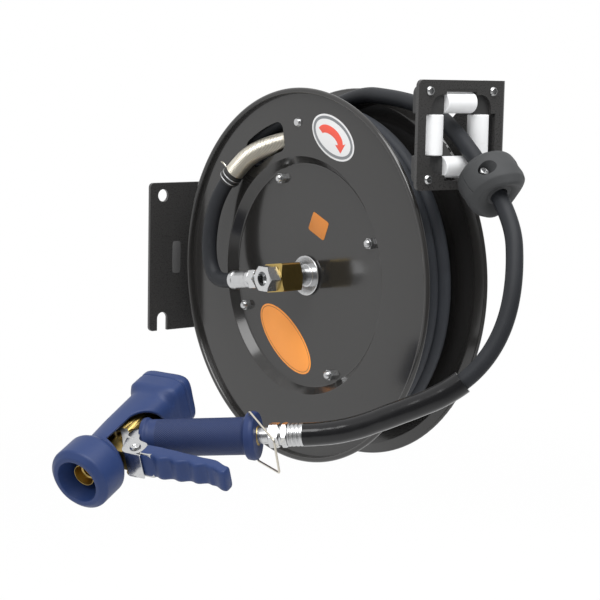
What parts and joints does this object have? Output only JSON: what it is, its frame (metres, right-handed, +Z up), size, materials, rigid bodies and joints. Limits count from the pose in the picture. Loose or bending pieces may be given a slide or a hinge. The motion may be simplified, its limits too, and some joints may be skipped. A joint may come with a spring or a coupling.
{
  "type": "hose reel",
  "caption": "Wall-mounted spring-rewind hose reel with pressed drum, roller guide, ball stop, guarded riser hose and a rubber-covered spray gun with lever and wire bail.",
  "frame": {"origin": "centre of the wall plate's back face, on the wall", "axes": "+Y into the wall, +Z up, X along the drum's axis with the water inlet towards -X"},
  "size_m": [0.4451, 0.5315, 0.4057],
  "materials": {
    "frame_paint": "satin powder coat",
    "drum_paint": "satin powder coat",
    "zinc": "zinc plated",
    "bright_steel": "bright plated",
    "spring_steel": "drawn wire",
    "stainless": "brushed",
    "cast_steel": "machined",
    "brass": "machined",
    "seal_rubber": "matt",
    "hose_rubber": "smooth",
    "sleeve_plastic": "glossy",
    "stop_rubber": "moulded",
    "white_nylon": "satin",
    "black_nylon": "satin",
    "blue_rubber": "moulded"
  },
  "bodies": {
    "root": {"wall_plate": "frame_paint", "pedestal_arm": "frame_paint", "guide_arm": "frame_paint", "roller_corner_holders": "black_nylon", "roller_pins": "zinc", "guide_screws": "zinc", "spring_arbor": "cast_steel", "spindle": "bright_steel", "spindle_washer": "zinc", "spindle_nut": "zinc", "swivel_seals": "seal_rubber", "inlet_port": "bright_steel", "pawl_pin": "zinc", "pawl_spring": "spring_steel", "hose_last_turn": "hose_rubber", "hose_free": "hose_rubber", "hose_sleeve": "sleeve_plastic", "ball_front_half": "stop_rubber", "ball_rear_half": "stop_rubber", "ball_screws": "zinc", "hose_ferrule": "bright_steel", "hose_adapter": "bright_steel", "gun_body": "brass", "gun_nozzle": "brass", "front_bumper": "blue_rubber", "barrel_cover": "blue_rubber", "grip_sleeve": "blue_rubber", "lever_pin": "stainless"},
    "drum": {"front_flange": "drum_paint", "rear_flange": "drum_paint", "drum_core": "drum_paint", "tie_rods": "zinc", "acorn_nuts": "zinc", "rear_nuts": "zinc", "ring_screw": "zinc", "front_bearing": "bright_steel", "rear_bearing": "bright_steel", "power_spring": "spring_steel", "ratchet_wheel": "cast_steel", "swivel_body": "brass", "swivel_outlet": "bright_steel", "riser_ferrule": "bright_steel", "riser_hose": "hose_rubber", "guard_collar": "zinc", "spring_guard": "spring_steel", "hose_clamp": "zinc", "hose_inner_layers": "hose_rubber", "hose_winding": "hose_rubber"},
    "top_roller": {"roller_top": "white_nylon"},
    "bottom_roller": {"roller_bottom": "white_nylon"},
    "left_roller": {"roller_left": "white_nylon"},
    "right_roller": {"roller_right": "white_nylon"},
    "latch_pawl": {"pawl": "cast_steel"},
    "gun_lever": {"lever_bracket": "stainless", "lever_grip": "blue_rubber"},
    "gun_valve": {"valve_stem": "stainless"},
    "gun_bail": {"bail": "spring_steel"}
  },
  "joints": [
    {"name": "drum_spin", "type": "hinge", "parent": "root", "child": "drum", "pos_m": [0, -0.225, 0], "axis": [1, 0, 0], "continuous": true},
    {"name": "roller_top_spin", "type": "hinge", "parent": "root", "child": "top_roller", "pos_m": [-0.0125, -0.417, 0.187], "axis": [1, 0, 0], "continuous": true},
    {"name": "roller_bottom_spin", "type": "hinge", "parent": "root", "child": "bottom_roller", "pos_m": [-0.0125, -0.417, 0.125], "axis": [1, 0, 0], "continuous": true},
    {"name": "roller_left_spin", "type": "hinge", "parent": "root", "child": "left_roller", "pos_m": [-0.0435, -0.417, 0.156], "axis": [0, 0, 1], "continuous": true},
    {"name": "roller_right_spin", "type": "hinge", "parent": "root", "child": "right_roller", "pos_m": [0.0185, -0.417, 0.156], "axis": [0, 0, 1], "continuous": true},
    {"name": "pawl_swing", "type": "hinge", "parent": "root", "child": "latch_pawl", "pos_m": [0.0394, -0.14796, -0.03592], "axis": [1, 0, 0], "range_deg": [0, 10], "stiffness_Nm_per_rad": 0.1, "springref_deg": -3.44},
    {"name": "lever_squeeze", "type": "hinge", "parent": "root", "child": "gun_lever", "pos_m": [-0.29509, -0.29281, -0.15203], "axis": [-0.338, -0.1582, 0.9278], "range_deg": [0, 16], "stiffness_Nm_per_rad": 1, "springref_deg": -20.05},
    {"name": "valve_slide", "type": "slide", "parent": "root", "child": "gun_valve", "axis": [-0.8758, -0.308, -0.3716], "range_m": [0, 0.0101]},
    {"name": "bail_swing", "type": "hinge", "parent": "root", "child": "gun_bail", "pos_m": [-0.20466, -0.35267, -0.12929], "axis": [-0.338, -0.1582, 0.9278], "range_deg": [-50, 30]}
  ],
  "couplings": [
    {"joint": "valve_slide", "follows": "lever_squeeze", "m_per_rad": 0.036}
  ]
}
